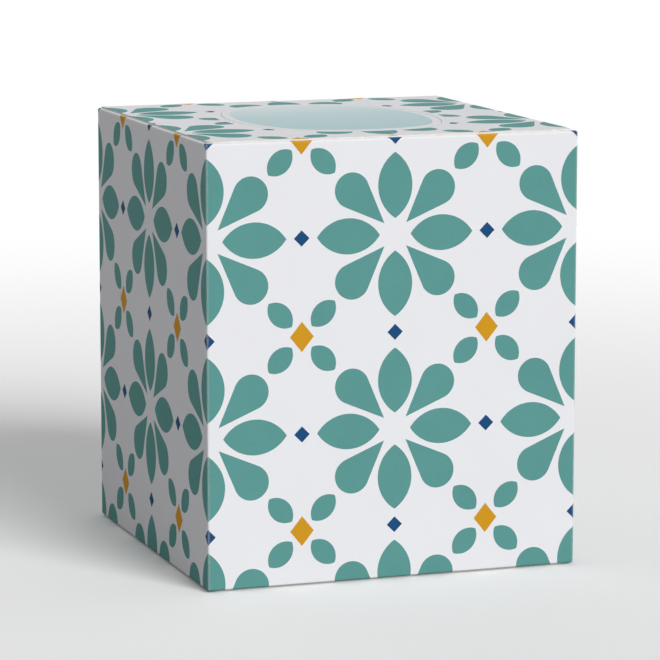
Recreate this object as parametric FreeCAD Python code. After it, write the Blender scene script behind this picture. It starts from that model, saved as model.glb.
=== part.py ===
import FreeCAD, Part
import math
import os

# A full, unopened cube carton of facial tissues, standing upright.
# Millimetres. The origin is the middle of the base, X runs to the right,
# Y runs from the front to the back and Z runs up.

V = FreeCAD.Vector
INCH = 25.4

# Carton
WIDTH = 4.375 * INCH
DEPTH = 4.375 * INCH
HEIGHT = 5.0 * INCH
BOARD = 0.46
FOLD = 0.6
SET_BACK = 1.2
FLAP_CORNER = 2.5

# Tear line on the top flap, a barrel shape with round corners and bowed sides
OPENING_WIDTH = 61.0
OPENING_LENGTH = 78.0
OPENING_CORNER = 19.0
SIDE_RISE = 3.6
END_RISE = 2.0
SLIT_LENGTH = 4.4
SLIT_WIDTH = 0.3
NICK = 0.9

# Print, raised by the thickness it is drawn with. Plumpness is width over length.
INK = 0.05
BARE_RIM = 0.3
RING = 2.6
COLUMNS = 2
PITCH = WIDTH / COLUMNS
TIP_GAP = 2.2
NAVY_SIZE = 4.6
GOLD_WIDTH = 7.0
GOLD_HEIGHT = 8.6
PETAL_START = 4.6
PETAL_LENGTH = PITCH / 2 - NAVY_SIZE / 2 - TIP_GAP - PETAL_START
PETAL_PLUMPNESS = 0.546
PETAL_WIDTH = PETAL_PLUMPNESS * PETAL_LENGTH
LEAF_START = 4.2
LEAF_LENGTH = PITCH * math.sqrt(0.5) - PETAL_START - PETAL_LENGTH - TIP_GAP - LEAF_START
LEAF_PLUMPNESS = 0.646
LEAF_WIDTH = LEAF_PLUMPNESS * LEAF_LENGTH
PETAL_STEPS = 5
BUD_STEPS = 7
LEAF_STEPS = 4
CRUMB = 1.0

HALF_WIDTH = WIDTH / 2
HALF_DEPTH = DEPTH / 2
ROUND = BOARD + FOLD
PANEL_EDGE = SET_BACK + BARE_RIM


# Outlines


def turned(points, angle, centre):
    """Turn a list of points about the origin and move it to a centre."""
    c = math.cos(math.radians(angle))
    s = math.sin(math.radians(angle))
    return [(centre[0] + c * x - s * y, centre[1] + s * x + c * y) for x, y in points]


def drop(start, length, width, steps):
    """A petal with its point at the start and a round outer end."""
    radius = width / 2
    middle = start + length - radius
    reach = math.pi / 2 + math.asin(radius / (length - radius))
    points = [(start, 0.0)]
    for k in range(steps + 1):
        a = reach * (2 * k / steps - 1)
        points.append((middle + radius * math.cos(a), radius * math.sin(a)))
    return points


def almond(start, length, width, steps):
    """A petal of two equal arcs, pointed at both ends."""
    half = length / 2
    rise = width / 2
    radius = (half * half + rise * rise) / (2 * rise)
    reach = math.asin(half / radius)
    points = []
    for side in (1, -1):
        for k in range(steps):
            a = reach * (1 - 2 * k / steps) * side
            x = start + half + radius * math.sin(a)
            y = side * (radius * math.cos(a) - radius + rise)
            points.append((x, y))
    return points


def lozenge(width, height):
    """A four-cornered figure standing on its point."""
    return [(width / 2, 0), (0, height / 2), (-width / 2, 0), (0, -height / 2)]


def closed_face(points):
    """A flat face inside a closed run of points."""
    corners = [V(x, y, 0) for x, y in points]
    return Part.Face(Part.makePolygon(corners + corners[:1]))


def barrel(inset):
    """The tear line's outline, moved inwards by a distance."""
    half_w = OPENING_WIDTH / 2
    half_l = OPENING_LENGTH / 2
    corner = min(OPENING_CORNER, half_w - SIDE_RISE - 1, half_l - END_RISE - 1)
    x = half_w - corner - SIDE_RISE
    y = half_l - corner - END_RISE
    side_bow = ((half_w - x) ** 2 + y * y - corner ** 2) / (2 * SIDE_RISE)
    end_bow = ((half_l - y) ** 2 + x * x - corner ** 2) / (2 * END_RISE)
    side = half_w - side_bow
    end = half_l - end_bow
    turn_side = math.atan2(y, x - side)
    turn_end = math.atan2(y - end, x)
    quarter = [
        (side, 0.0, side_bow, 0.0, turn_side),
        (x, y, corner, turn_side, turn_end),
        (0.0, end, end_bow, turn_end, math.pi / 2),
    ]
    arcs = []
    for flip_x, flip_y in ((1, 1), (-1, 1), (-1, -1), (1, -1)):
        for cx, cy, radius, first, last in quarter:
            spots = []
            for a in (first, (first + last) / 2, last):
                px = cx + (radius - inset) * math.cos(a)
                py = cy + (radius - inset) * math.sin(a)
                spots.append(V(flip_x * px, flip_y * py, 0))
            arcs.append(Part.Arc(*spots).toShape())
    return Part.Wire(Part.__sortEdges__(arcs))


# Carton


def folded_block():
    """The four walls with their folds, and the raw edge of the side seam."""
    block = Part.makeBox(WIDTH, DEPTH, HEIGHT - 2 * BOARD, V(-HALF_WIDTH, -HALF_DEPTH, BOARD))
    block = block.makeFillet(FOLD, block.Edges)
    wall = HALF_WIDTH - BOARD
    edge = HALF_DEPTH - SET_BACK
    clear = 2 * SET_BACK
    bend = math.sqrt(0.5) * FOLD
    corners = [
        V(wall, HALF_DEPTH - FOLD, 0),
        V(wall, edge, 0),
        V(wall + clear, edge, 0),
        V(wall + clear, HALF_DEPTH + clear, 0),
        V(wall - FOLD, HALF_DEPTH + clear, 0),
        V(wall - FOLD, HALF_DEPTH, 0),
    ]
    round_corner = Part.Arc(
        corners[-1],
        V(wall - FOLD + bend, HALF_DEPTH - FOLD + bend, 0),
        corners[0],
    ).toShape()
    outline = Part.makePolygon(corners).Edges + [round_corner]
    seam = Part.Face(Part.Wire(Part.__sortEdges__(outline))).extrude(V(0, 0, HEIGHT))
    return block.cut(seam)


def outer_flap():
    """The flap glued down over the top, folded over from the back wall."""
    front = -HALF_DEPTH + SET_BACK
    left = -HALF_WIDTH + SET_BACK
    low = HEIGHT - ROUND
    bend = math.sqrt(0.5) * ROUND
    corners = [
        V(left, HALF_DEPTH - ROUND, HEIGHT),
        V(left, front, HEIGHT),
        V(left, front, low),
        V(left, HALF_DEPTH, low),
    ]
    fold = Part.Arc(
        corners[-1],
        V(left, HALF_DEPTH - ROUND + bend, low + bend),
        corners[0],
    ).toShape()
    outline = Part.makePolygon(corners).Edges + [fold]
    profile = Part.Face(Part.Wire(Part.__sortEdges__(outline)))
    flap = profile.extrude(V(WIDTH - 2 * SET_BACK, 0, 0))
    free = []
    for edge in flap.Edges:
        box = edge.BoundBox
        if box.YMax < front + 0.01 and box.XLength < 0.01:
            free.append(edge)
    return flap.makeFillet(FLAP_CORNER, free)


def tear_slits():
    """The cuts of the tear line, each through the outer flap."""
    line = barrel(0.0)
    count = round(line.Length / (SLIT_LENGTH + NICK))
    spots = line.discretize(2 * count + 1)
    blank = Part.makeBox(SLIT_LENGTH, SLIT_WIDTH, 2 * BOARD, V(-SLIT_LENGTH / 2, -SLIT_WIDTH / 2, 0))
    cuts = []
    for k in range(count):
        here = spots[2 * k + 1]
        run = spots[2 * k + 2] - spots[2 * k]
        cut = blank.copy()
        cut.rotate(V(0, 0, 0), V(0, 0, 1), math.degrees(math.atan2(run.y, run.x)))
        cut.translate(V(here.x, here.y, HEIGHT - BOARD))
        cuts.append(cut)
    return cuts


def carton():
    """The closed carton with its two outer flaps and its tear line."""
    top = outer_flap()
    bottom = top.mirror(V(0, 0, HEIGHT / 2), V(0, 0, 1))
    whole = folded_block().fuse([top, bottom]).removeSplitter()
    return whole.cut(tear_slits())


# Print


def motifs(columns, rows):
    """The figures of the print, by colour, round the given column and row lines."""
    figures = {"teal": [], "gold": [], "navy": []}
    petal = almond(PETAL_START, PETAL_LENGTH, PETAL_WIDTH, PETAL_STEPS)
    bud = drop(PETAL_START, PETAL_LENGTH, PETAL_WIDTH, BUD_STEPS)
    leaf = almond(LEAF_START, LEAF_LENGTH, LEAF_WIDTH, LEAF_STEPS)
    gold = lozenge(GOLD_WIDTH, GOLD_HEIGHT)
    dot = lozenge(NAVY_SIZE, NAVY_SIZE)
    for y in rows:
        for x in columns:
            between = (x + PITCH / 2, y + PITCH / 2)
            for k in range(4):
                figures["teal"].append(turned(petal, 90 * k, (x, y)))
                figures["teal"].append(turned(bud, 90 * k + 45, (x, y)))
                figures["teal"].append(turned(leaf, 90 * k + 45, between))
            figures["gold"].append(turned(gold, 0, between))
            figures["navy"].append(turned(dot, 0, (between[0], y)))
            figures["navy"].append(turned(dot, 0, (x, between[1])))
    return figures


def panel_face(low, high, corner):
    """The printable part of a panel, with rounded corners where it has them."""
    block = Part.makeBox(high[0] - low[0], high[1] - low[1], 1, V(low[0], low[1], 0))
    if corner > 0:
        upright = [edge for edge in block.Edges if edge.BoundBox.ZLength > 0.5]
        block = block.makeFillet(corner, upright)
    return [face for face in block.Faces if face.BoundBox.ZMax < 0.5][0]


def printed(outlines, panel, hole):
    """The figures as thin solids on the XY plane, kept on a panel and out of a hole."""
    area = panel.BoundBox
    solids = []
    for points in outlines:
        figure = closed_face(points)
        box = figure.BoundBox
        if not area.intersect(box):
            continue
        figure = figure.common(panel)
        if hole is not None:
            figure = figure.cut(hole)
        for face in figure.Faces:
            if face.Area > CRUMB:
                solids.append(face.extrude(V(0, 0, INK)))
    return solids


def onto(solids, corner, right, up, out):
    """Move solids from the XY plane onto a panel with the given directions."""
    matrix = FreeCAD.Matrix(
        right.x, up.x, out.x, corner.x,
        right.y, up.y, out.y, corner.y,
        right.z, up.z, out.z, corner.z,
        0, 0, 0, 1,
    )
    moved = []
    for solid in solids:
        copy = solid.copy()
        copy.Placement = FreeCAD.Placement(matrix)
        moved.append(copy)
    return moved


def panels():
    """Each printed panel: its size, its row lines, and its corner and directions."""
    x, y, z = V(1, 0, 0), V(0, 1, 0), V(0, 0, 1)
    walls = [
        (WIDTH, V(-HALF_WIDTH, -HALF_DEPTH, 0), x, -y),
        (DEPTH, V(HALF_WIDTH, -HALF_DEPTH, 0), y, x),
        (WIDTH, V(HALF_WIDTH, HALF_DEPTH, 0), -x, y),
        (DEPTH, V(-HALF_WIDTH, HALF_DEPTH, 0), -y, -x),
    ]
    found = []
    for length, corner, right, out in walls:
        lines = [HEIGHT - (k + 0.5) * PITCH for k in range(-1, math.ceil(HEIGHT / PITCH) + 1)]
        found.append(((length, HEIGHT), lines, 0.0, None, (corner, right, z, out)))
    lines = [(k + 0.5) * PITCH for k in range(-1, math.ceil(DEPTH / PITCH) + 1)]
    ring = Part.Face(barrel(-RING))
    ring.translate(V(HALF_WIDTH, HALF_DEPTH, 0))
    top = (V(HALF_WIDTH, HALF_DEPTH, HEIGHT), -x, -y, z)
    found.append(((WIDTH, DEPTH), lines, FLAP_CORNER, ring, top))
    return found


def all_print():
    """Every coloured figure on the four walls and the top, by colour."""
    solids = {"teal": [], "gold": [], "navy": []}
    for size, rows, corner, hole, place in panels():
        columns = [k * PITCH for k in range(-1, math.ceil(size[0] / PITCH) + 1)]
        high = (size[0] - PANEL_EDGE, size[1] - PANEL_EDGE)
        panel = panel_face((PANEL_EDGE, PANEL_EDGE), high, corner)
        for colour, outlines in motifs(columns, rows).items():
            solids[colour] += onto(printed(outlines, panel, hole), *place)
    return solids


def opening_print():
    """The pale field that fills the opening, a ring's width inside the tear line."""
    field = Part.Face(barrel(RING)).extrude(V(0, 0, INK))
    field.translate(V(0, 0, HEIGHT))
    return field


os.makedirs("parts", exist_ok=True)
carton().exportStep("parts/tissue_carton.step")
for colour, solids in all_print().items():
    Part.makeCompound(solids).exportStep("parts/" + colour + "_print.step")
opening_print().exportStep("parts/opening_print.step")
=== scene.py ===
import logging
import math
from collections.abc import Callable
from dataclasses import dataclass, field
from enum import Enum
from typing import Any

import bmesh
import bpy
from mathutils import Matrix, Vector
from mathutils.geometry import delaunay_2d_cdt


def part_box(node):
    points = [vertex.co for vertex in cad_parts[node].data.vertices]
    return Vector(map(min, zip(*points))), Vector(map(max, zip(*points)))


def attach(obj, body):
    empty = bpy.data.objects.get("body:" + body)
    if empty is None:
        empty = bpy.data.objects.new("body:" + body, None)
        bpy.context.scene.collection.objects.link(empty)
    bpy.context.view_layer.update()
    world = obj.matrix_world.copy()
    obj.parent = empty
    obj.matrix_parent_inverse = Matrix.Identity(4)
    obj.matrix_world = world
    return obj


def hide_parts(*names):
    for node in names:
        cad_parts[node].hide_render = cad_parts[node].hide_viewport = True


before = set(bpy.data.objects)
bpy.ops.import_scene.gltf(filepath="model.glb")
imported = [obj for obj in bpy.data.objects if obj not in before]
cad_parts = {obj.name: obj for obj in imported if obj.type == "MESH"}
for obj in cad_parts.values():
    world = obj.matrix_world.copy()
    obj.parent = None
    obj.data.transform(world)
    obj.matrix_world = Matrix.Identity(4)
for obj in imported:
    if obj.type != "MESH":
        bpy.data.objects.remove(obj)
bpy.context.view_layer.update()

LOG = logging.getLogger("tissue_box")
MM = 0.001

Point = tuple[float, float]
Outline = list[Point]
Face = tuple[int, ...]
Colour = tuple[float, float, float, float]
WHITE: Colour = (1.0, 1.0, 1.0, 1.0)


def add_object(name: str, data: bpy.types.ID) -> bpy.types.Object:
    """Make an object of a mesh, lamp or camera and put it in the scene."""
    made = bpy.data.objects.new(name, data)
    bpy.context.scene.collection.objects.link(made)
    return made


# Node trees


@dataclass(frozen=True)
class Value:
    """A number carried by a socket. An operator on it adds a Math node."""

    graph: "Graph"
    socket: bpy.types.NodeSocket

    def _math(self, operation: str, *terms: "Value | float") -> "Value":
        """Add a Math node with this operation on these terms."""
        node = self.graph.add("ShaderNodeMath", {"operation": operation}, dict(enumerate(terms)))
        return Value(self.graph, node.outputs[0])

    def __add__(self, other: "Value | float") -> "Value":
        """The sum."""
        return self._math("ADD", self, other)

    def __radd__(self, other: float) -> "Value":
        """The sum, from the right."""
        return self._math("ADD", other, self)

    def __sub__(self, other: "Value | float") -> "Value":
        """The difference."""
        return self._math("SUBTRACT", self, other)

    def __rsub__(self, other: float) -> "Value":
        """The difference, from the right."""
        return self._math("SUBTRACT", other, self)

    def __mul__(self, other: "Value | float") -> "Value":
        """The product."""
        return self._math("MULTIPLY", self, other)

    def __rmul__(self, other: float) -> "Value":
        """The product, from the right."""
        return self._math("MULTIPLY", other, self)

    def __truediv__(self, other: "Value | float") -> "Value":
        """The quotient."""
        return self._math("DIVIDE", self, other)

    def __abs__(self) -> "Value":
        """The size without its sign."""
        return self._math("ABSOLUTE", self)

    def least(self, other: "Value | float") -> "Value":
        """The smaller of two values."""
        return self._math("MINIMUM", self, other)

    def most(self, other: "Value | float") -> "Value":
        """The larger of two values."""
        return self._math("MAXIMUM", self, other)

    def eased(self, low: float, high: float) -> "Value":
        """Zero below low and one above high, with a smooth step between.

        Args:
            low: where the step starts.
            high: where the step ends.

        Returns:
            The step's value.
        """
        settings = {"interpolation_type": "SMOOTHSTEP"}
        sockets = {"Value": self, "From Min": low, "From Max": high}
        node = self.graph.add("ShaderNodeMapRange", settings, sockets)
        return Value(self.graph, node.outputs["Result"])


class Graph:
    """A node tree that is being built."""

    def __init__(self, tree: bpy.types.NodeTree) -> None:
        """Empty the tree that takes the nodes."""
        self.tree = tree
        self.tree.nodes.clear()

    def add(
        self,
        kind: str,
        settings: dict[str, Any] | None = None,
        sockets: dict[str | int, Any] | None = None,
    ) -> bpy.types.Node:
        """Add a node.

        Args:
            kind: the node's type.
            settings: its properties, and a ramp's stops under "stops".
            sockets: the value or link of each input, by name or number.

        Returns:
            The new node.
        """
        node = self.tree.nodes.new(kind)
        for name, value in (settings or {}).items():
            if name == "stops":
                self._set_stops(node.color_ramp, value)
            else:
                setattr(node, name, value)
        for key, value in (sockets or {}).items():
            source = value.socket if isinstance(value, Value) else value
            if isinstance(source, bpy.types.NodeSocket):
                self.tree.links.new(source, node.inputs[key])
            else:
                node.inputs[key].default_value = source
        return node

    @staticmethod
    def _set_stops(ramp: bpy.types.ColorRamp, stops: list[tuple[float, tuple]]) -> None:
        """Give a ramp its stops.

        Args:
            ramp: the ramp, which starts with two stops.
            stops: place and colour of each stop, in order.
        """
        while len(ramp.elements) < len(stops):
            ramp.elements.new(1.0)
        for element, (place, colour) in zip(ramp.elements, stops):
            element.position = place
            element.color = colour

    def value(self, node: bpy.types.Node, output: str | int = 0) -> Value:
        """One of a node's outputs as a number."""
        return Value(self, node.outputs[output])

    def mixed(self, factor: Value | float, first: Any, second: Any) -> bpy.types.NodeSocket:
        """Mix two colours or colour sockets: zero is the first, one the second."""
        settings = {"data_type": "RGBA"}
        return self.add("ShaderNodeMix", settings, {0: factor, 6: first, 7: second}).outputs[2]


def new_material(name: str) -> tuple[bpy.types.Material, Graph]:
    """Make a material without nodes, and the graph that takes them."""
    material = bpy.data.materials.new(name)
    material.use_nodes = True
    return material, Graph(material.node_tree)


# Surface finishes

# Patches to a metre of each noise, and the strength of each finer layer in it
CLOUDS = 55.0
LAYERS = 480.0
SPECKS = 900.0
FLECKS = 2400.0
FIBRES = 2600.0
FINER_LAYER = 0.55

# Where in its noise a mark starts to show, and where it is full
FLECK_STEP = (0.3, 0.8)
LAYER_STEP = (0.35, 0.7)

# Shares of the noises in the tone, the relief, and the rubbed ink with its painted edge highlight
CLOUD_IN_TONE = 1.3
SPECK_IN_TONE = 0.7
FIBRE_IN_RELIEF = 0.6
SPECK_IN_RELIEF = 0.4
EVEN_RUB_AND_HIGHLIGHT = 0.3


@dataclass(frozen=True)
class PaperFinish:
    """Coated board, bare or under one flat ink.

    Attributes:
        name: the material's name.
        colour: the surface's colour, linear.
        mottle: how far the colour varies from place to place, as a share.
        roughness: the mean roughness.
        gloss_drift: how far the roughness drifts.
        fibre: depth of the paper's grain in the bump, in metres.
        sheen: how strongly the surface mirrors, as the shader's specular level.
        wear_and_edge_highlight: how thin the ink is rubbed along a fold, which also paints a light
            edge highlight there, zero to one.
        bare: the colour that shows through where it is thin.
        fold_reach: how far from a sharp edge the rubbing and painted highlight are full, and where
            they end.
    """

    name: str
    colour: Colour
    mottle: float = 0.02
    roughness: float = 0.6
    gloss_drift: float = 0.08
    fibre: float = 0.018 * MM
    sheen: float = 0.015
    wear_and_edge_highlight: float = 0.0
    bare: Colour = (0.74, 0.76, 0.76, 1.0)
    fold_reach: Point = (0.15 * MM, 0.8 * MM)

    def tint(self, graph: Graph, place: bpy.types.NodeSocket, half: Point) -> Any:
        """The colour before wear and the painted edge highlight, which a finish with a change of
        tone overrides.
        """
        return self.colour[:3]

    def build(self, half: Point, height: float) -> bpy.types.Material:
        """Make the material.

        Args:
            half: half the carton's width and depth, where its folds are.
            height: the carton's height.

        Returns:
            The finished material.
        """
        material, graph = new_material(self.name)
        material.diffuse_color = self.colour
        place = graph.add("ShaderNodeTexCoord").outputs["Object"]
        cloud = self._noise(graph, place, CLOUDS, 3.0)
        speck = self._noise(graph, place, SPECKS, 2.0)
        grain = self._noise(graph, place, FIBRES, 3.0)
        tone = (cloud - 0.5) * CLOUD_IN_TONE + (speck - 0.5) * SPECK_IN_TONE
        shade = 1.0 + self.mottle * tone
        base = self.tint(graph, place, half)
        sockets = {0: base, "Scale": shade}
        colour = graph.add("ShaderNodeVectorMath", {"operation": "SCALE"}, sockets).outputs[0]
        # Lighter ink along every fold and edge: partly rubbed wear, partly a painted edge
        # highlight.
        if self.wear_and_edge_highlight > 0.0:
            rubbed_and_highlit = self._rubbed_and_highlit(graph, place, half, height)
            colour = graph.mixed(rubbed_and_highlit, colour, self.bare)
        dull = self.roughness + self.gloss_drift * (cloud - 0.5) + self.gloss_drift * (speck - 0.5)
        relief = grain * FIBRE_IN_RELIEF + speck * SPECK_IN_RELIEF
        sockets = {"Height": relief, "Distance": self.fibre, "Strength": 1.0}
        bump = graph.add("ShaderNodeBump", None, sockets)
        sockets = {
            "Base Color": colour,
            "Roughness": dull,
            "Normal": bump.outputs["Normal"],
            "Specular IOR Level": self.sheen,
        }
        shader = graph.add("ShaderNodeBsdfPrincipled", None, sockets)
        graph.add("ShaderNodeOutputMaterial", None, {"Surface": shader.outputs[0]})
        return material

    def _noise(self, graph: Graph, place: Any, scale: float, detail: float) -> Value:
        """A noise from zero to one, of so many patches to a metre and finer layers."""
        sockets = {"Vector": place, "Scale": scale, "Detail": detail, "Roughness": FINER_LAYER}
        return graph.value(graph.add("ShaderNodeTexNoise", None, sockets), "Fac")

    def _rubbed_and_highlit(self, graph: Graph, place: Any, half: Point, height: float) -> Value:
        """How thin the ink is rubbed along the carton's folds, which also paints a light highlight
        along them.

        Args:
            graph: the material's tree.
            place: the object coordinates.
            half: half the carton's width and depth.
            height: the carton's height.

        Returns:
            Zero where the ink is whole, and more where board shows through it.
        """
        parts = graph.add("ShaderNodeSeparateXYZ", None, {0: place})
        x, y, z = (graph.value(parts, k) for k in range(3))
        near_x = half[0] - abs(x)
        near_y = half[1] - abs(y)
        near_z = (height - z).least(z)
        corner = near_x.most(near_y).least(near_x.most(near_z)).least(near_y.most(near_z))
        closeness = 1.0 - corner.eased(*self.fold_reach)
        flecks = self._noise(graph, place, FLECKS, 4.0).eased(*FLECK_STEP)
        # The lightening near every edge is partly rubbed ink and partly a painted edge highlight.
        return (EVEN_RUB_AND_HIGHLIGHT + (1.0 - EVEN_RUB_AND_HIGHLIGHT) * flecks) * closeness * self.wear_and_edge_highlight


@dataclass(frozen=True)
class FadedField(PaperFinish):
    """The opening's pale field, which fades from near white at the back to blue in front.

    Attributes:
        middle: the colour half way back.
        far: the colour at the back.
        stops: where the three colours stand, in depths of the carton from its front.
    """

    middle: Colour = (0.525, 0.68, 0.70, 1.0)
    far: Colour = (0.69, 0.785, 0.79, 1.0)
    stops: tuple[float, float, float] = (0.18, 0.5, 0.84)

    def tint(self, graph: Graph, place: bpy.types.NodeSocket, half: Point) -> Any:
        """A change of tone from front to back.

        Args:
            graph: the material's tree.
            place: the object coordinates.
            half: half the carton's width and depth.

        Returns:
            The colour socket.
        """
        parts = graph.add("ShaderNodeSeparateXYZ", None, {0: place})
        back = graph.value(parts, 1) / (2 * half[1]) + 0.5
        stops = list(zip(self.stops, (self.colour, self.middle, self.far)))
        ramp = graph.add("ShaderNodeValToRGB", {"stops": stops}, {0: back})
        ramp.color_ramp.interpolation = "EASE"
        return ramp.outputs["Color"]


@dataclass(frozen=True)
class CutEdge(PaperFinish):
    """The raw edge of the board, where its pressed layers show.

    Attributes:
        core: the colour of the darker layers.
        thinness: how much thinner than long a layer is.
    """

    core: Colour = (0.66, 0.63, 0.57, 1.0)
    thinness: float = 14.0

    def tint(self, graph: Graph, place: bpy.types.NodeSocket, half: Point) -> Any:
        """Thin layers, darker in the middle of the board.

        Args:
            graph: the material's tree.
            place: the object coordinates.
            half: half the carton's width and depth.

        Returns:
            The colour socket.
        """
        sockets = {"Vector": place, "Scale": (1.0, 1.0, self.thinness)}
        pressed = graph.add("ShaderNodeMapping", None, sockets).outputs[0]
        layers = self._noise(graph, pressed, LAYERS, 3.0)
        return graph.mixed(layers.eased(*LAYER_STEP), self.colour, self.core)


class Finish(Enum):
    """The finishes of the carton."""

    BOARD = PaperFinish("coated_board", (0.805, 0.808, 0.836, 1.0), mottle=0.035)
    EDGE = CutEdge("cut_board_edge", (0.78, 0.765, 0.73, 1.0), mottle=0.08, roughness=0.9)
    TEAL = PaperFinish("teal_offset_ink", (0.110, 0.310, 0.292, 1.0), 0.11, 0.5, wear_and_edge_highlight=0.45)
    GOLD = PaperFinish("gold_offset_ink", (0.632, 0.312, 0.018, 1.0), 0.09, 0.5, wear_and_edge_highlight=0.45)
    NAVY = PaperFinish("navy_offset_ink", (0.015, 0.076, 0.198, 1.0), 0.14, 0.5, wear_and_edge_highlight=0.45)
    FIELD = FadedField("pale_field", (0.47, 0.635, 0.66, 1.0), 0.05, 0.5)


# Carton


def box_span(node: str) -> tuple[Vector, Vector]:
    """The lowest and highest corner of a CAD node."""
    low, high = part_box(node)
    return Vector(low), Vector(high)


@dataclass
class Carton:
    """The folded carton's sizes, and the way from its flat sheet to its folded form.

    The sheet's first coordinate, s, runs round the walls from the seam: back, left, front and
    right. Its second, v, runs up the walls, and over the back fold across the top flap. Both
    count to the sharp edges that the walls would have without their round folds.

    Attributes:
        low: the lowest corner of the CAD carton.
        high: its highest corner.
        board: the board's thickness.
        fold: the radius of a wall's fold, outside.
        set_back: how far a glued flap's raw edge lies from the next wall's outside.
        flap_corner: the radius of an outer flap's free corners.
        bow: how far the middle of a wall stands out.
        fold_steps: how many faces go round a fold.
        wall_steps: how many faces go across a wall.
        beside: how far from a fold the first narrow face ends, as a share of the wall.
        materials: the material of each finish.
    """

    low: Vector
    high: Vector
    board: float = 0.46 * MM
    fold: float = 0.6 * MM
    set_back: float = 1.2 * MM
    flap_corner: float = 2.5 * MM
    bow: float = 0.25 * MM
    fold_steps: int = 8
    wall_steps: int = 24
    beside: float = 0.002
    materials: dict[Finish, bpy.types.Material] = field(default_factory=dict)

    def __post_init__(self) -> None:
        """Work out the sizes that follow, and make the finishes."""
        self.width = self.high.x - self.low.x
        self.depth = self.high.y - self.low.y
        self.height = self.high.z
        self.around = 2 * (self.width + self.depth)
        self.hinge = self.board + self.fold
        half = (self.width / 2, self.depth / 2)
        for finish in Finish:
            self.materials[finish] = finish.value.build(half, self.height)

    def walls(self) -> list[tuple[float, float, Vector, Vector, Vector]]:
        """The four walls in the order of the sheet.

        Returns:
            For each wall: where it starts on the sheet, its length, its first corner on the
            floor, the way along it, and the way out of it.
        """
        half_w = self.width / 2
        half_d = self.depth / 2
        x = Vector((1, 0, 0))
        y = Vector((0, 1, 0))
        runs = [
            (self.width, Vector((half_w, half_d, 0)), -x, y),
            (self.depth, Vector((-half_w, half_d, 0)), -y, -x),
            (self.width, Vector((-half_w, -half_d, 0)), x, -y),
            (self.depth, Vector((half_w, -half_d, 0)), y, x),
        ]
        found = []
        start = 0.0
        for length, corner, along, out in runs:
            found.append((start, length, corner, along, out))
            start += length
        return found

    def shares(self) -> list[float]:
        """Steps from zero to one across a wall, with a narrow one beside each fold."""
        steps = [k / self.wall_steps for k in range(self.wall_steps + 1)]
        return [0.0, self.beside] + steps[1:-1] + [1.0 - self.beside, 1.0]

    def bulge(self, along: float, up: float) -> float:
        """How far a full carton's wall stands out at a place.

        Args:
            along: the place along the wall, zero to one.
            up: the place up the wall, zero to one.

        Returns:
            The distance outwards.
        """
        a = 1 - (2 * min(max(along, 0.0), 1.0) - 1) ** 2
        b = 1 - (2 * min(max(up, 0.0), 1.0) - 1) ** 2
        return self.bow * a * b

    def on_wall(self, s: float, v: float, lift: float) -> Vector:
        """A place on the walls and their folds.

        Args:
            s: the place round the walls.
            v: the place up the walls.
            lift: the height over the surface.

        Returns:
            The point in space.
        """
        for start, length, corner, along, out in self.walls():
            if s <= start + length:
                break
        r = self.fold
        u = s - start
        turn = 0.0
        if u < r and start > 0.0:
            turn = (u - r) / (2 * r) * math.pi / 2
        if u > length - r and start + length < self.around - r:
            turn = (u - length + r) / (2 * r) * math.pi / 2
        core = min(max(u, r), length - r)
        if turn == 0.0:
            core = u
        low = self.board + r
        high = self.height - self.board - r
        tip = 0.0
        if v < low:
            tip = (v - low) / (2 * r) * math.pi / 2
        if v > high:
            tip = (v - high) / (2 * r) * math.pi / 2
        z = min(max(v, low), high)
        flat = out * math.cos(turn) + along * math.sin(turn)
        normal = flat * math.cos(tip) + Vector((0, 0, math.sin(tip)))
        centre = corner + along * core - out * r + Vector((0, 0, z))
        swell = self.bulge((u - r) / (length - 2 * r), (v - low) / (high - low))
        return centre + normal * (r + lift + swell)

    def on_flap(self, s: float, v: float, lift: float) -> Vector:
        """A place on the top flap and the fold that carries it.

        Args:
            s: the place along the back wall.
            v: the place up the back wall and on across the top.
            lift: the height over the surface.

        Returns:
            The point in space.
        """
        r = self.hinge
        over = v - self.height
        tip = min(max((over + r) / (2 * r), 0.0), 1.0) * math.pi / 2
        y = self.depth / 2 - max(over, r)
        normal = Vector((0, math.cos(tip), math.sin(tip)))
        return Vector((self.width / 2 - s, y, self.height - r)) + normal * (r + lift)

    def make_piece(
        self,
        name: str,
        points: list[Vector],
        faces: list[Face],
        finishes: list[Finish],
    ) -> bpy.types.Object:
        """Make a mesh piece, which isn't declared yet.

        Args:
            name: the piece's name.
            points: its corners.
            faces: its faces.
            finishes: its finishes, in the order of its material slots.

        Returns:
            The new object.
        """
        mesh = bpy.data.meshes.new(name)
        mesh.from_pydata([tuple(p) for p in points], [], faces)
        for finish in finishes:
            mesh.materials.append(self.materials[finish])
        return add_object(name, mesh)

    def declare(self, piece: bpy.types.Object, nodes: list[str], slot: str) -> None:
        """Attach a finished piece to the root body, hide the CAD nodes that it replaces, and log
        its faces.

        Args:
            piece: the piece.
            nodes: the CAD nodes that it replaces.
            slot: the record's material slot, which is not used.
        """
        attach(piece, "root")
        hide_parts(*nodes)
        LOG.info("%s: %d faces", piece.name, len(piece.data.polygons))


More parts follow.
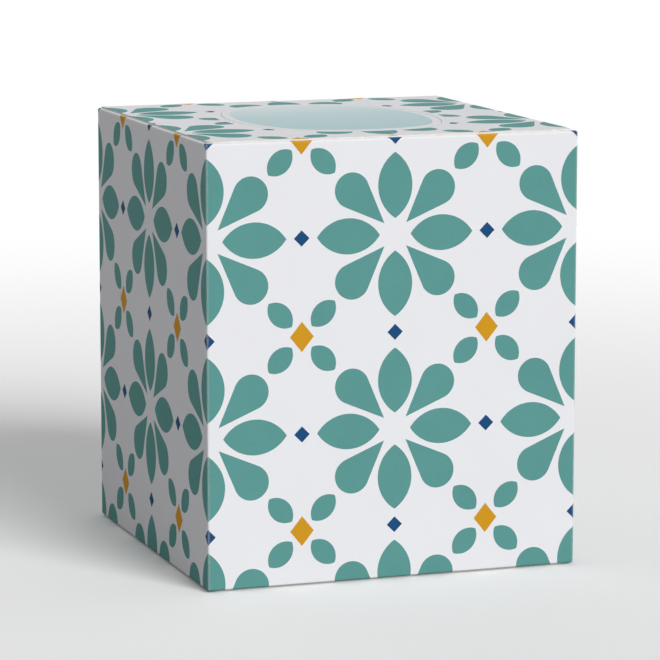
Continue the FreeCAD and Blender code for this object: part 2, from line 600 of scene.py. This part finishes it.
@dataclass
class BoardWork:
    """The bare board: the block of the four walls, and the two outer flaps.

    Attributes:
        carton: the carton.
        lap: how far a flap's underside sinks into the block that carries it.
        corner_steps: how many faces go round a flap's corner or fold.
        sharp: the angle between faces above which their edge is drawn sharp, in degrees.
        doubled: how near two points of the walls are that are one.
        seam_play: how far from the side seam's plane its points may lie.
        seam_facing: how far back its face has to point, as a share of straight back.
    """

    carton: Carton
    lap: float = 0.05 * MM
    corner_steps: int = 8
    sharp: float = 30.0
    doubled: float = 0.001 * MM
    seam_play: float = 0.01 * MM
    seam_facing: float = 0.9

    def build(self) -> None:
        """Make the walls and the flaps, and cut the tear line."""
        self.make_walls()
        bottom = self.make_flap("bottom_flap", under=True)
        self.carton.declare(bottom, ["tissue_carton"], "board")
        top = self.make_flap("top_flap", under=False)
        TearLine(self.carton).cut(top)
        self.carton.declare(top, ["tissue_carton"], "board")

    def around_walls(self) -> list[tuple[Vector, Vector, float]]:
        """The walls' section, seen from above, from the seam round to the seam.

        Returns:
            For each point: the middle of its fold, the way out, and how far along its wall
            it is, from zero to one.
        """
        carton = self.carton
        r = carton.fold
        section = []
        last = len(carton.walls()) - 1
        for number, (start, length, corner, along, out) in enumerate(carton.walls()):
            shift = carton.board if number == 0 else 0.0
            inner = corner + along * (r + shift) - out * r
            for k in range(carton.fold_steps):
                turn = (k / carton.fold_steps - 1) * math.pi / 2
                normal = out * math.cos(turn) + along * math.sin(turn)
                section.append((inner, normal, 0.0))
            end = length - (carton.set_back if number == last else r)
            for share in carton.shares():
                reach = r + shift + share * (end - r - shift)
                section.append((corner + along * reach - out * r, out, share))
            if number == last:
                section.append((corner + along * end - out * (r + carton.board), out, 1.0))
        return section

    def make_walls(self) -> None:
        """Make the closed block of the walls with all their folds."""
        carton = self.carton
        r = carton.fold
        section = self.around_walls()
        low = carton.board + r
        high = carton.height - carton.board - r
        levels = []
        for k in range(carton.fold_steps + 1):
            levels.append((low, (k / carton.fold_steps - 1) * math.pi / 2, 0.0))
        for share in carton.shares()[1:-1]:
            levels.append((low + share * (high - low), 0.0, share))
        for k in range(carton.fold_steps + 1):
            levels.append((high, k / carton.fold_steps * math.pi / 2, 1.0))
        points = []
        for z, tip, up in levels:
            for middle, out, along in section:
                normal = out * math.cos(tip) + Vector((0, 0, math.sin(tip)))
                swell = out * carton.bulge(along, up)
                points.append(middle + Vector((0, 0, z)) + normal * r + swell)
        count = len(section)
        faces = []
        for row in range(len(levels) - 1):
            for k in range(count):
                a = row * count + k
                b = row * count + (k + 1) % count
                faces.append((a, b, b + count, a + count))
        faces.append(tuple(reversed(range(count))))
        faces.append(tuple(range((len(levels) - 1) * count, len(levels) * count)))
        walls = carton.make_piece("carton_walls", points, faces, [Finish.BOARD, Finish.EDGE])
        merge_close(walls.data, self.doubled)
        self.mark_raw_seam(walls.data)
        for face in walls.data.polygons:
            face.use_smooth = len(face.vertices) <= 4
        walls.data.set_sharp_from_angle(angle=math.radians(self.sharp))
        carton.declare(walls, ["tissue_carton"], "board")

    def mark_raw_seam(self, mesh: bpy.types.Mesh) -> None:
        """Give the side seam's narrow face the cut board's finish.

        Args:
            mesh: the walls' mesh.
        """
        edge = self.carton.depth / 2 - self.carton.set_back
        for face in mesh.polygons:
            gaps = [abs(mesh.vertices[v].co.y - edge) for v in face.vertices]
            in_plane = max(gaps) < self.seam_play
            faces_back = face.normal.y > self.seam_facing
            face.material_index = int(in_plane and faces_back)

    def make_flap(self, name: str, under: bool) -> bpy.types.Object:
        """Make one outer flap with the fold that joins it to the back wall.

        Args:
            name: the piece's name.
            under: whether it is the bottom flap, which is the top one mirrored.

        Returns:
            The flap, which isn't declared yet.
        """
        carton = self.carton
        r = carton.hinge
        x = carton.width / 2 - carton.set_back
        front = -carton.depth / 2 + carton.set_back
        back = carton.depth / 2 - r
        c = carton.flap_corner
        plan = [(-x, back)]
        for side, first in ((-1, math.pi), (1, 1.5 * math.pi)):
            for k in range(self.corner_steps + 1):
                a = first + k / self.corner_steps * math.pi / 2
                plan.append((side * (x - c) + c * math.cos(a), front + c + c * math.sin(a)))
        plan.append((x, back))
        top = carton.height
        low = top - carton.board - self.lap
        bend = []
        for k in range(1, self.corner_steps + 1):
            a = (1 - k / self.corner_steps) * math.pi / 2
            bend.append((back + r * math.cos(a), top - r + r * math.sin(a)))
        bend.append((carton.depth / 2 - carton.board, top - r))
        points = [(px, py, top) for px, py in plan]
        points += [(px, py, low) for px, py in plan]
        points += [(side * x, py, pz) for side in (-1, 1) for py, pz in bend]
        n = len(plan)
        m = len(bend)
        left = [0] + [2 * n + k for k in range(m)] + [n]
        right = [n - 1] + [2 * n + m + k for k in range(m)] + [2 * n - 1]
        faces = [tuple(range(n)), tuple(reversed(range(n, 2 * n)))]
        edges = len(faces)
        faces += [(k, k + n, k + n + 1, k + 1) for k in range(n - 1)]
        faces += [tuple(left), tuple(reversed(right))]
        sheet = len(faces)
        faces += [(left[k + 1], left[k], right[k], right[k + 1]) for k in range(m + 1)]
        if under:
            points = [(px, py, top - pz) for px, py, pz in points]
            faces = [tuple(reversed(face)) for face in faces]
        flap = carton.make_piece(name, points, faces, [Finish.BOARD, Finish.EDGE])
        for face in flap.data.polygons:
            face.material_index = int(edges <= face.index < sheet)
            face.use_smooth = sheet < face.index < sheet + m
        return flap


def merge_close(mesh: bpy.types.Mesh, reach: float) -> None:
    """Merge doubled points, which leaves a closed skin.

    Args:
        mesh: the mesh to mend in place.
        reach: how near two points are that become one.
    """
    work = bmesh.new()
    work.from_mesh(mesh)
    bmesh.ops.remove_doubles(work, verts=work.verts, dist=reach)
    work.to_mesh(mesh)
    work.free()


@dataclass
class TearLine:
    """The barrel-shaped line of cuts in the top flap.

    Attributes:
        carton: the carton.
        width: the line's width.
        length: its length from front to back.
        corner: the radius of its round corners.
        side_rise: how far its sides bow out.
        end_rise: how far its ends bow out.
        slit_length: one cut's length.
        slit_width: one cut's width.
        nick: the uncut board between two cuts.
        arc_steps: how many straight runs each arc has.
    """

    carton: Carton
    width: float = 61.0 * MM
    length: float = 78.0 * MM
    corner: float = 19.0 * MM
    side_rise: float = 3.6 * MM
    end_rise: float = 2.0 * MM
    slit_length: float = 4.4 * MM
    slit_width: float = 0.3 * MM
    nick: float = 0.9 * MM
    arc_steps: int = 10

    def outline(self, inset: float) -> Outline:
        """The line, moved inwards, as points round the middle of the top.

        Args:
            inset: the distance inwards.

        Returns:
            The closed run of points, turning left.
        """
        half_w = self.width / 2
        half_l = self.length / 2
        c = self.corner
        x = half_w - c - self.side_rise
        y = half_l - c - self.end_rise
        side_bow = ((half_w - x) ** 2 + y * y - c * c) / (2 * self.side_rise)
        end_bow = ((half_l - y) ** 2 + x * x - c * c) / (2 * self.end_rise)
        side = half_w - side_bow
        end = half_l - end_bow
        turn_side = math.atan2(y, x - side)
        turn_end = math.atan2(y - end, x)
        quarter = []
        for cx, cy, radius, first, last in (
            (side, 0.0, side_bow, 0.0, turn_side),
            (x, y, c, turn_side, turn_end),
            (0.0, end, end_bow, turn_end, math.pi / 2),
        ):
            for k in range(self.arc_steps):
                a = first + k / self.arc_steps * (last - first)
                spot = (cx + (radius - inset) * math.cos(a), cy + (radius - inset) * math.sin(a))
                quarter.append(spot)
        top = (0.0, half_l - inset)
        right_up = quarter + [top]
        left_up = [(-px, py) for px, py in reversed(quarter)]
        left_down = [(-px, -py) for px, py in quarter[1:]] + [(0.0, -half_l + inset)]
        right_down = [(px, -py) for px, py in reversed(quarter[1:])]
        return right_up + left_up + left_down + right_down

    def cut(self, flap: bpy.types.Object) -> None:
        """Cut the slits into a flap.

        Args:
            flap: the flap, whose mesh is replaced by the cut one.
        """
        ring = self.outline(0.0)
        high = self.carton.height
        mesh = bpy.data.meshes.new("tear_path")
        count = len(ring)
        runs = [(k, (k + 1) % count) for k in range(count)]
        mesh.from_pydata([(x, y, high) for x, y in ring], runs, [])
        cutter = add_object("tear_slits", mesh)
        around = sum(math.dist(ring[k - 1], ring[k]) for k in range(count))
        inputs = {
            "Count": round(around / (self.slit_length + self.nick)),
            "Slit": (self.slit_length, self.slit_width, 2 * self.carton.board),
            "Finish": self.carton.materials[Finish.EDGE],
        }
        run_nodes(cutter, slit_tree(), inputs)
        knife = flap.modifiers.new("tear_slits", "BOOLEAN")
        knife.operation = "DIFFERENCE"
        knife.solver = "EXACT"
        knife.material_mode = "TRANSFER"
        knife.object = cutter
        flap.data = plain_mesh(flap)
        flap.modifiers.clear()
        bpy.data.objects.remove(cutter)


# Geometry Nodes


def new_tree(name: str, inputs: dict[str, str]) -> tuple[Graph, bpy.types.Node]:
    """Start a Geometry Nodes tree.

    Args:
        name: the tree's name.
        inputs: the kind of socket of each named input.

    Returns:
        The tree being built, and its input node.
    """
    tree = bpy.data.node_groups.new(name, "GeometryNodeTree")
    graph = Graph(tree)
    tree.interface.new_socket("Geometry", in_out="OUTPUT", socket_type="NodeSocketGeometry")
    for label, kind in inputs.items():
        tree.interface.new_socket(label, in_out="INPUT", socket_type="NodeSocket" + kind)
    return graph, graph.add("NodeGroupInput")


def finish_tree(graph: Graph, instances: Any, finish: Any) -> bpy.types.NodeTree:
    """End a tree in real geometry with its finish.

    Args:
        graph: the tree being built.
        instances: the socket of the instances.
        finish: the socket of the material.

    Returns:
        The finished tree.
    """
    real = graph.add("GeometryNodeRealizeInstances", None, {"Geometry": instances})
    sockets = {"Geometry": real.outputs[0], "Material": finish}
    dressed = graph.add("GeometryNodeSetMaterial", None, sockets)
    graph.add("NodeGroupOutput", None, {"Geometry": dressed.outputs[0]})
    return graph.tree


def slit_tree() -> bpy.types.NodeTree:
    """Blocks at equal steps along a closed path, each turned along it.

    Returns:
        The tree.
    """
    kinds = {"Geometry": "Geometry", "Count": "Int", "Slit": "Vector", "Finish": "Material"}
    graph, entry = new_tree("slits_along_path", kinds)
    path = graph.add("GeometryNodeMeshToCurve", None, {"Mesh": entry.outputs["Geometry"]})
    steps = {"Curve": path.outputs[0], "Count": entry.outputs["Count"]}
    even = graph.add("GeometryNodeResampleCurve", {"mode": "COUNT"}, steps)
    ahead = graph.add("GeometryNodeInputTangent")
    sockets = {"Vector": ahead.outputs[0]}
    turned = graph.add("FunctionNodeAlignRotationToVector", {"axis": "X"}, sockets)
    block = graph.add("GeometryNodeMeshCube", None, {"Size": entry.outputs["Slit"]})
    sockets = {
        "Points": even.outputs[0],
        "Instance": block.outputs["Mesh"],
        "Rotation": turned.outputs[0],
    }
    placed = graph.add("GeometryNodeInstanceOnPoints", None, sockets)
    return finish_tree(graph, placed.outputs[0], entry.outputs["Finish"])


def lattice_tree() -> bpy.types.NodeTree:
    """A figure turned about a point, and the group repeated on a square grid.

    Returns:
        The tree.
    """
    kinds = {
        "Geometry": "Geometry",
        "Copies": "Int",
        "First Turn": "Float",
        "Columns": "Int",
        "Rows": "Int",
        "Pitch": "Float",
        "Middle": "Vector",
        "Finish": "Material",
    }
    graph, entry = new_tree("figures_on_grid", kinds)
    still = {"Count": entry.outputs["Copies"], "Offset": (0.0, 0.0, 0.0)}
    heap = graph.add("GeometryNodeMeshLine", None, still)
    number = graph.value(graph.add("GeometryNodeInputIndex"))
    copies = graph.value(entry, "Copies")
    turn = number * (2 * math.pi) / copies + graph.value(entry, "First Turn")
    spin = graph.add("ShaderNodeCombineXYZ", None, {"Z": turn})
    sockets = {
        "Points": heap.outputs["Mesh"],
        "Instance": entry.outputs["Geometry"],
        "Rotation": spin.outputs[0],
    }
    group = graph.add("GeometryNodeInstanceOnPoints", None, sockets)
    pitch = graph.value(entry, "Pitch")
    columns = graph.value(entry, "Columns")
    rows = graph.value(entry, "Rows")
    sockets = {
        "Size X": (columns - 1.0) * pitch,
        "Size Y": (rows - 1.0) * pitch,
        "Vertices X": columns,
        "Vertices Y": rows,
    }
    grid = graph.add("GeometryNodeMeshGrid", None, sockets)
    sockets = {"Geometry": grid.outputs["Mesh"], "Translation": entry.outputs["Middle"]}
    moved = graph.add("GeometryNodeTransform", None, sockets)
    sockets = {"Points": moved.outputs[0], "Instance": group.outputs[0]}
    placed = graph.add("GeometryNodeInstanceOnPoints", None, sockets)
    return finish_tree(graph, placed.outputs[0], entry.outputs["Finish"])


def run_nodes(piece: bpy.types.Object, tree: bpy.types.NodeTree, inputs: dict[str, Any]) -> None:
    """Replace an object's mesh by what a tree makes of it.

    Args:
        piece: the object.
        tree: the Geometry Nodes tree.
        inputs: the value of each named input.
    """
    modifier = piece.modifiers.new(tree.name, "NODES")
    modifier.node_group = tree
    for item in tree.interface.items_tree:
        if item.in_out == "INPUT" and item.name in inputs:
            modifier[item.identifier] = inputs[item.name]
    piece.data = plain_mesh(piece)
    piece.modifiers.clear()


def plain_mesh(piece: bpy.types.Object) -> bpy.types.Mesh:
    """An object's mesh with its modifiers applied.

    Args:
        piece: the object.

    Returns:
        A new mesh.
    """
    bpy.context.view_layer.update()
    ready = piece.evaluated_get(bpy.context.evaluated_depsgraph_get())
    return bpy.data.meshes.new_from_object(ready)


# Print

# The kind of triangulation that fills everything between its outermost points
WHOLE_HULL = 0


@dataclass(frozen=True)
class Motif:
    """One figure of the print and how it repeats.

    Attributes:
        outline: the figure's outline, round the point about which it turns.
        copies: how many stand round that point.
        first_turn: the first one's turn, in degrees.
        shift: the point's place between the grid's lines, in pitches.
    """

    outline: Outline
    copies: int = 1
    first_turn: float = 0.0
    shift: Point = (0.0, 0.0)


@dataclass(frozen=True)
class Ink:
    """One ink's piece.

    Attributes:
        piece: the piece's name.
        finish: its finish.
        node: the CAD node that it replaces.
        slot: the record's material slot.
        motifs: the motifs that are printed with it.
    """

    piece: str
    finish: Finish
    node: str
    slot: str
    motifs: tuple[Motif, ...] = ()


class Region(Enum):
    """The parts of the folded sheet that take print."""

    WALLS = "walls"
    FLAP = "flap"


@dataclass
class PetalPrint:
    """The print on the carton: rosettes on a square grid, with sprigs and dots between them.

    Attributes:
        carton: the carton.
        tear: the tear line, round which the print stops.
        ring: how wide the bare ring is on each side of the tear line.
        tip_gap: the gap between the tips of neighbouring figures.
        navy_size: the width and height of a navy dot.
        gold: the width and height of a golden lozenge.
        petal_start: where a petal begins, from the middle of its rosette.
        petal_plumpness: a petal's width over its length.
        leaf_start: where a leaf begins, from the middle of its sprig.
        leaf_plumpness: a leaf's width over its length.
        columns: how many rosettes go across a wall.
        arc_steps: how many straight runs an arc of a petal has.
        lift: how far the print reaches out of the board, and into it.
        ring_clear: how near the bare ring's edge has to be to cut a figure.
        same_point: how near two points are that are one.
    """

    carton: Carton
    tear: TearLine
    ring: float = 2.6 * MM
    tip_gap: float = 2.2 * MM
    navy_size: float = 4.6 * MM
    gold: Point = (7.0 * MM, 8.6 * MM)
    petal_start: float = 4.6 * MM
    petal_plumpness: float = 0.546
    leaf_start: float = 4.2 * MM
    leaf_plumpness: float = 0.646
    columns: int = 2
    arc_steps: int = 22
    lift: float = 0.03 * MM
    ring_clear: float = 3.0 * MM
    same_point: float = 0.0001 * MM

    def __post_init__(self) -> None:
        """Work out the sizes that follow, and the lines where the sheet bends or ends."""
        carton = self.carton
        self.pitch = carton.width / self.columns
        self.petal_length = self.pitch / 2 - self.navy_size / 2 - self.tip_gap - self.petal_start
        reach = self.petal_start + self.petal_length
        self.leaf_length = self.pitch * math.sqrt(0.5) - reach - self.tip_gap - self.leaf_start
        shares = [2 * k / carton.fold_steps - 1 for k in range(carton.fold_steps + 1)]
        corners = [start for start, *_ in carton.walls()[1:]]
        self.upright = [corner + carton.fold * share for corner in corners for share in shares]
        self.upright += [carton.hinge, carton.set_back, carton.width - carton.set_back]
        self.upright += [carton.around - carton.set_back]
        self.level = [carton.height + carton.depth - carton.set_back]
        for share in shares:
            self.level.append(carton.board + carton.fold * share)
            self.level.append(carton.height - carton.board + carton.fold * share)
            self.level.append(carton.height + carton.hinge * share)
        self.hole = self.on_sheet(self.tear.outline(-self.ring))

    def on_sheet(self, outline: Outline) -> Outline:
        """Move an outline from the middle of the top onto the flat sheet."""
        middle = (self.carton.width / 2, self.carton.height + self.carton.depth / 2)
        return [(middle[0] - x, middle[1] - y) for x, y in outline]

    def build(self) -> None:
        """Print every ink, and the pale field of the opening."""
        tree = lattice_tree()
        for ink in self.inks():
            outlines = [o for motif in ink.motifs for o in self.repeated(tree, ink.finish, motif)]
            self.add_print(ink, outlines, self.region)
        pale = Ink("opening_field", Finish.FIELD, "opening_print", "opening_ink")
        outline = self.on_sheet(self.tear.outline(self.ring))
        self.add_print(pale, [outline], lambda s, v: Region.FLAP)

    def inks(self) -> list[Ink]:
        """The print's inks.

        Returns:
            Each ink with its motifs.
        """
        petal_width = self.petal_plumpness * self.petal_length
        petal = self.almond(self.petal_start, self.petal_length, petal_width)
        bud = self.drop(self.petal_start, self.petal_length, petal_width)
        leaf_width = self.leaf_plumpness * self.leaf_length
        leaf = self.almond(self.leaf_start, self.leaf_length, leaf_width)
        dot = self.lozenge(self.navy_size, self.navy_size)
        teal = (Motif(petal, 4), Motif(bud, 4, 45.0), Motif(leaf, 4, 45.0, (0.5, 0.5)))
        gold = (Motif(self.lozenge(*self.gold), shift=(0.5, 0.5)),)
        navy = (Motif(dot, shift=(0.5, 0.0)), Motif(dot, shift=(0.0, 0.5)))
        return [
            Ink("teal_petals", Finish.TEAL, "teal_print", "teal_ink", teal),
            Ink("gold_lozenges", Finish.GOLD, "gold_print", "gold_ink", gold),
            Ink("navy_dots", Finish.NAVY, "navy_print", "navy_ink", navy),
        ]

    def drop(self, start: float, length: float, width: float) -> Outline:
        """A petal with its point at the start and a round outer end.

        Args:
            start: where the point is.
            length: the petal's length.
            width: the petal's width.

        Returns:
            The outline.
        """
        radius = width / 2
        middle = start + length - radius
        reach = math.pi / 2 + math.asin(radius / (length - radius))
        count = 2 * self.arc_steps
        points = [(start, 0.0)]
        for k in range(count + 1):
            a = reach * (2 * k / count - 1)
            points.append((middle + radius * math.cos(a), radius * math.sin(a)))
        return points

    def almond(self, start: float, length: float, width: float) -> Outline:
        """A petal of two equal arcs, pointed at both ends.

        Args:
            start: where the inner point is.
            length: the petal's length.
            width: the petal's width.

        Returns:
            The outline.
        """
        half = length / 2
        rise = width / 2
        radius = (half * half + rise * rise) / (2 * rise)
        reach = math.asin(half / radius)
        points = []
        for side in (1, -1):
            for k in range(self.arc_steps):
                a = reach * (1 - 2 * k / self.arc_steps) * side
                y = side * (radius * math.cos(a) - radius + rise)
                points.append((start + half + radius * math.sin(a), y))
        return points

    @staticmethod
    def lozenge(width: float, height: float) -> Outline:
        """A four-cornered figure standing on its point."""
        return [(width / 2, 0.0), (0.0, height / 2), (-width / 2, 0.0), (0.0, -height / 2)]

    def repeated(self, tree: bpy.types.NodeTree, finish: Finish, motif: Motif) -> list[Outline]:
        """A motif's copies all over the flat sheet.

        Args:
            tree: the tree that repeats it.
            finish: the ink.
            motif: the motif.

        Returns:
            The outline of each copy.
        """
        carton = self.carton
        mesh = bpy.data.meshes.new("motif")
        face = tuple(range(len(motif.outline)))
        mesh.from_pydata([(x, y, 0.0) for x, y in motif.outline], [], [face])
        figure = add_object("motif", mesh)
        columns = round(carton.around / self.pitch) + 1
        rows = math.ceil((carton.height + carton.depth) / self.pitch) + 1
        top_row = carton.height + carton.depth - self.pitch / 2
        middle = (
            ((columns - 1) / 2 + motif.shift[0]) * self.pitch,
            top_row - ((rows - 1) / 2 - motif.shift[1]) * self.pitch,
            0.0,
        )
        inputs = {
            "Copies": motif.copies,
            "First Turn": math.radians(motif.first_turn),
            "Columns": columns,
            "Rows": rows,
            "Pitch": self.pitch,
            "Middle": middle,
            "Finish": carton.materials[finish],
        }
        run_nodes(figure, tree, inputs)
        spots = [tuple(vertex.co[:2]) for vertex in figure.data.vertices]
        outlines = [[spots[v] for v in polygon.vertices] for polygon in figure.data.polygons]
        bpy.data.objects.remove(figure)
        return outlines

    def region(self, s: float, v: float) -> Region | None:
        """Which part of the folded sheet a place belongs to.

        Args:
            s: the place round the walls.
            v: the place up the walls and across the top.

        Returns:
            The part, or None where there is no print.
        """
        carton = self.carton
        low = carton.board - carton.fold
        if v < low or s < carton.hinge or s > carton.around - carton.set_back:
            return None
        on_back = s < carton.width - carton.set_back
        limit = carton.height - (carton.hinge if on_back else carton.board - carton.fold)
        if v < limit:
            return Region.WALLS
        front = carton.height + carton.depth - carton.set_back
        if on_back and s > carton.set_back and v < front and not inside(self.hole, (s, v)):
            return Region.FLAP
        return None

    def add_print(
        self, ink: Ink, outlines: list[Outline], region: Callable[[float, float], Region | None]
    ) -> None:
        """Make one ink's piece: thin closed figures that follow the folds.

        Args:
            ink: the ink.
            outlines: the figures on the flat sheet.
            region: tells which part of the sheet a place belongs to.
        """
        points: list[Vector] = []
        faces: list[Face] = []
        for outline in outlines:
            places, triangles = self.divided(outline)
            for part in Region:
                kept = []
                for triangle in triangles:
                    s, v = middle_of([places[k] for k in triangle])
                    if region(s, v) == part and inside(outline, (s, v)):
                        kept.append(triangle)
                self.thicken(part, places, kept, points, faces)
        piece = self.carton.make_piece(ink.piece, points, faces, [ink.finish])
        self.carton.declare(piece, [ink.node], ink.slot)

    def divided(self, outline: Outline) -> tuple[Outline, list[Face]]:
        """Triangles that fill a figure and break where the sheet bends or ends.

        Args:
            outline: the figure.

        Returns:
            The places, and the triangles, some of which lie outside the figure.
        """
        xs = [p[0] for p in outline]
        ys = [p[1] for p in outline]
        low = (min(xs) - MM, min(ys) - MM)
        high = (max(xs) + MM, max(ys) + MM)
        spots = list(outline)
        runs = [(k, (k + 1) % len(outline)) for k in range(len(outline))]
        for s in self.upright:
            if low[0] + MM < s < high[0] - MM:
                runs.append((len(spots), len(spots) + 1))
                spots += [(s, low[1]), (s, high[1])]
        for v in self.level:
            if low[1] + MM < v < high[1] - MM:
                runs.append((len(spots), len(spots) + 1))
                spots += [(low[0], v), (high[0], v)]
        clear = self.ring_clear
        near = [
            low[0] - clear < x < high[0] + clear and low[1] - clear < y < high[1] + clear
            for x, y in self.hole
        ]
        for k, here in enumerate(self.hole):
            if near[k] and near[k - 1]:
                runs.append((len(spots), len(spots) + 1))
                spots += [self.hole[k - 1], here]
        flat = [Vector((x / MM, y / MM)) for x, y in spots]
        near_enough = self.same_point / MM
        places, _, triangles, *_ = delaunay_2d_cdt(flat, runs, [], WHOLE_HULL, near_enough)
        return [(p.x * MM, p.y * MM) for p in places], [tuple(t) for t in triangles]

    def thicken(
        self,
        part: Region,
        places: Outline,
        triangles: list[Face],
        points: list[Vector],
        faces: list[Face],
    ) -> None:
        """Fold triangles onto the carton as a thin closed layer.

        Args:
            part: the part of the sheet that they lie on.
            places: the places on the flat sheet.
            triangles: the triangles.
            points: the piece's corners, which grow.
            faces: the piece's faces, which grow.
        """
        fold = self.carton.on_wall if part is Region.WALLS else self.carton.on_flap
        index: dict[int, int] = {}
        taken: dict[tuple[int, ...], int] = {}
        for k in sorted({k for triangle in triangles for k in triangle}):
            upper = fold(*places[k], self.lift)
            spot = tuple(round(c / self.same_point) for c in upper)
            if spot not in taken:
                taken[spot] = len(points)
                points.append(upper)
                points.append(fold(*places[k], -self.lift))
            index[k] = taken[spot]
        rims: dict[tuple[int, int], None] = {}
        for triangle in triangles:
            a, b, c = (places[k] for k in triangle)
            turns_left = (b[0] - a[0]) * (c[1] - a[1]) > (b[1] - a[1]) * (c[0] - a[0])
            ordered = triangle if turns_left else tuple(reversed(triangle))
            top = tuple(index[k] for k in ordered)
            if len(set(top)) < 3:
                continue
            faces.append(top)
            faces.append(tuple(k + 1 for k in reversed(top)))
            for k in range(3):
                run = (top[k], top[(k + 1) % 3])
                if (run[1], run[0]) in rims:
                    del rims[(run[1], run[0])]
                else:
                    rims[run] = None
        faces += [(a, a + 1, b + 1, b) for a, b in rims]


def middle_of(corners: list[Point]) -> Point:
    """The middle of a few points."""
    return (sum(p[0] for p in corners) / len(corners), sum(p[1] for p in corners) / len(corners))


def inside(outline: Outline, place: Point) -> bool:
    """Whether a place lies inside an outline.

    Args:
        outline: the closed run of points.
        place: the place.

    Returns:
        True inside.
    """
    x, y = place
    found = False
    for k, (x1, y1) in enumerate(outline):
        x0, y0 = outline[k - 1]
        if (y0 > y) != (y1 > y) and x < x0 + (y - y0) / (y1 - y0) * (x1 - x0):
            found = not found
    return found


# Studio


@dataclass
class Studio:
    """The floor, the lamps and the camera.

    Attributes:
        camera_place: where the camera is.
        target: what it is aimed at.
        view_angle: its angle of view, in degrees.
        sky: the strength of the light from all round.
        back_light: how much stronger it is straight behind the carton.
        sun: the sun's strength.
        sun_angles: how far right of the front it stands, and how high, in degrees.
        sun_softness: the angle across it, in degrees.
        floor_size: the floor's width.
        floor_tones: the floor's tone where it lights the carton, and where it is seen.
        shade_reach: how far from the carton the floor starts to fade to white, and is white.
    """

    camera_place: Vector = field(default_factory=lambda: Vector((-0.338, -0.969, 0.228)))
    target: Vector = field(default_factory=lambda: Vector((0.0, 0.0, 0.0635)))
    view_angle: float = 10.8
    sky: float = 0.35
    back_light: float = 0.9
    sun: float = 2.53
    sun_angles: Point = (18.0, 27.5)
    sun_softness: float = 30.0
    floor_size: float = 12.0
    floor_tones: Point = (0.38, 0.97)
    shade_reach: Point = (0.15, 0.75)

    def build(self) -> None:
        """Make the whole studio."""
        self.make_floor()
        self.make_sky()
        self.make_sun()
        self.make_camera()
        bpy.context.scene.view_settings.view_transform = "Standard"

    def make_floor(self) -> None:
        """A plain pale floor that keeps the carton's shadow, and is white further off."""
        half = self.floor_size / 2
        mesh = bpy.data.meshes.new("floor")
        corners = [(-half, -half, 0), (half, -half, 0), (half, half, 0), (-half, half, 0)]
        mesh.from_pydata(corners, [], [(0, 1, 2, 3)])
        floor = add_object("floor", mesh)
        material, graph = new_material("floor")
        seen = self.seen_directly(graph)
        tones = [(tone, tone, tone, 1.0) for tone in self.floor_tones]
        near = graph.add("ShaderNodeBsdfDiffuse", None, {"Color": graph.mixed(seen, *tones)})
        white = graph.add("ShaderNodeEmission", None, {"Color": WHITE})
        place = graph.add("ShaderNodeTexCoord").outputs["Object"]
        far = graph.add("ShaderNodeVectorMath", {"operation": "LENGTH"}, {0: place})
        away = graph.value(far, "Value").eased(*self.shade_reach)
        sockets = {0: away * seen, 1: near.outputs[0], 2: white.outputs[0]}
        shader = graph.add("ShaderNodeMixShader", None, sockets)
        graph.add("ShaderNodeOutputMaterial", None, {"Surface": shader.outputs[0]})
        mesh.materials.append(material)

    @staticmethod
    def seen_directly(graph: Graph) -> Value:
        """One for what the camera sees itself, in a mirror or through glass."""
        path = graph.add("ShaderNodeLightPath")
        names = ("Is Camera Ray", "Is Glossy Ray", "Is Transmission Ray")
        camera, glossy, clear = (graph.value(path, name) for name in names)
        return camera.most(glossy).most(clear)

    def make_sky(self) -> None:
        """A sky that is lighter behind the carton, and white where it is seen."""
        world = bpy.data.worlds.new("studio")
        world.use_nodes = True
        graph = Graph(world.node_tree)
        way = graph.add("ShaderNodeTexCoord").outputs["Generated"]
        parts = graph.add("ShaderNodeSeparateXYZ", None, {0: way})
        behind = graph.value(parts, 1).most(0.0)
        glow = self.sky + self.back_light * behind * behind * behind
        strength = glow + (1.0 - glow) * self.seen_directly(graph)
        sockets = {"Color": WHITE, "Strength": strength}
        light = graph.add("ShaderNodeBackground", None, sockets)
        graph.add("ShaderNodeOutputWorld", None, {"Surface": light.outputs[0]})
        bpy.context.scene.world = world

    def make_sun(self) -> None:
        """One wide soft light, from the front and slightly right."""
        lamp = bpy.data.lights.new("soft_sun", "SUN")
        lamp.energy = self.sun
        lamp.angle = math.radians(self.sun_softness)
        shown = add_object("soft_sun", lamp)
        turn, up = (math.radians(a) for a in self.sun_angles)
        way = Vector((math.sin(turn) * math.cos(up), -math.cos(turn) * math.cos(up), math.sin(up)))
        shown.location = self.target + way
        shown.rotation_euler = (-way).to_track_quat("-Z", "Y").to_euler()

    def make_camera(self) -> None:
        """The camera, where the photograph was taken from, aimed at the carton."""
        lens = bpy.data.cameras.new("camera")
        lens.angle = math.radians(self.view_angle)
        camera = add_object("camera", lens)
        camera.location = self.camera_place
        aim = self.target - self.camera_place
        camera.rotation_euler = aim.to_track_quat("-Z", "Y").to_euler()
        bpy.context.scene.camera = camera


def main() -> None:
    """Build the carton and the studio."""
    logging.basicConfig(level=logging.INFO, format="%(name)s: %(message)s")
    carton = Carton(*box_span("tissue_carton"))
    BoardWork(carton).build()
    PetalPrint(carton, TearLine(carton)).build()
    Studio().build()


if __name__ == "__main__":
    main()
